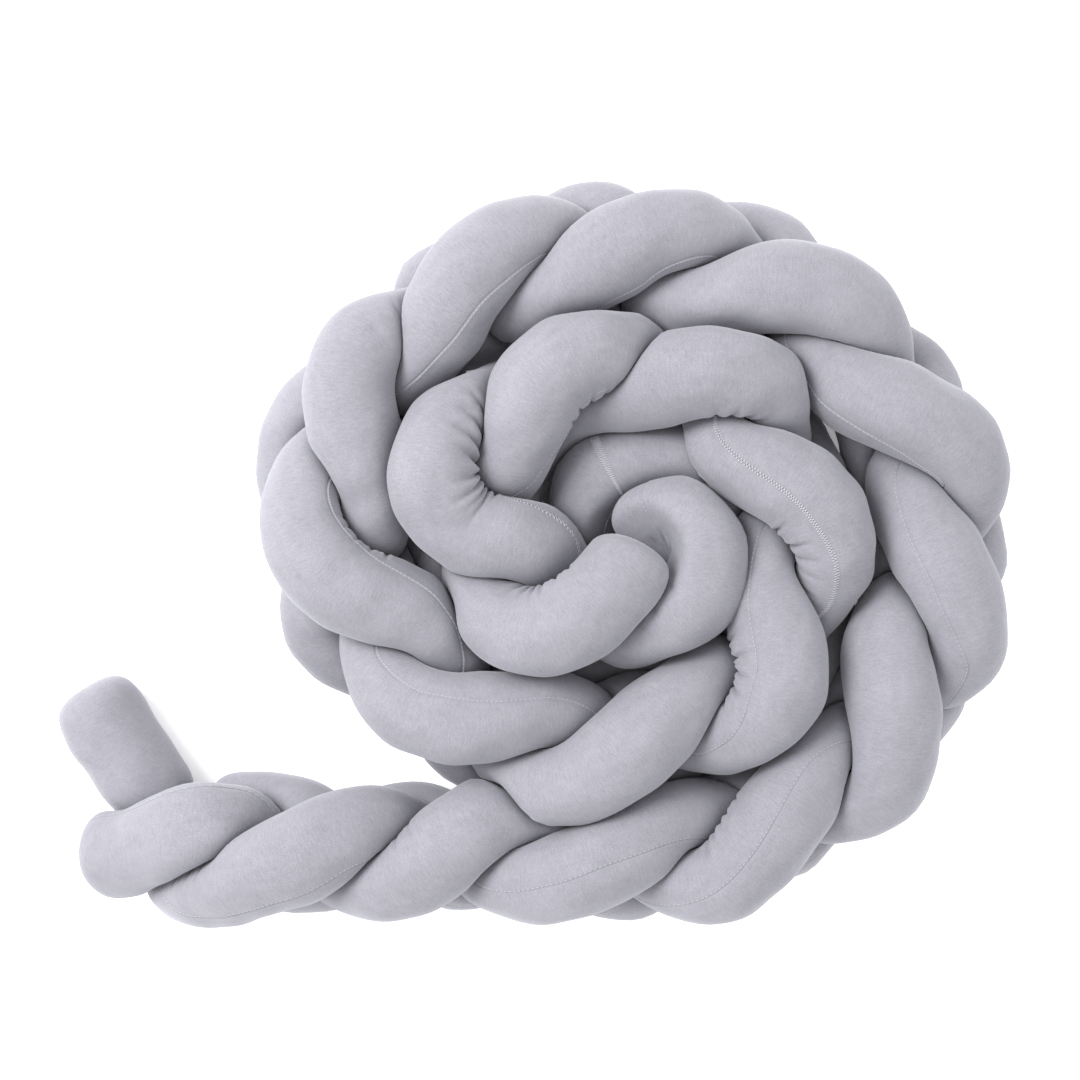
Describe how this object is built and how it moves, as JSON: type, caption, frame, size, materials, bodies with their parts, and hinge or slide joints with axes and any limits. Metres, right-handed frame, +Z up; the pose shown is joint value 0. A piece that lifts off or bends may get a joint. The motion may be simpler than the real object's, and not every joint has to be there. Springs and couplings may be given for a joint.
{
  "type": "crib bumper",
  "caption": "Plaited crib bumper of filled velour tubes, stood on its edge and rolled up into a flat spiral with a loose tail.",
  "frame": {"origin": "middle of the rolled plait's footprint, on the floor", "axes": "+X along the long side of the footprint, away from the loose tail; +Z up, across the plait's width"},
  "size_m": [0.8634, 0.6717, 0.1959],
  "materials": {
    "velour": "short-pile pale grey velour, matt with a soft sheen"
  },
  "bodies": {
    "root": {"strand_a": "velour", "strand_b": "velour", "strand_c": "velour"}
  },
  "joints": []
}
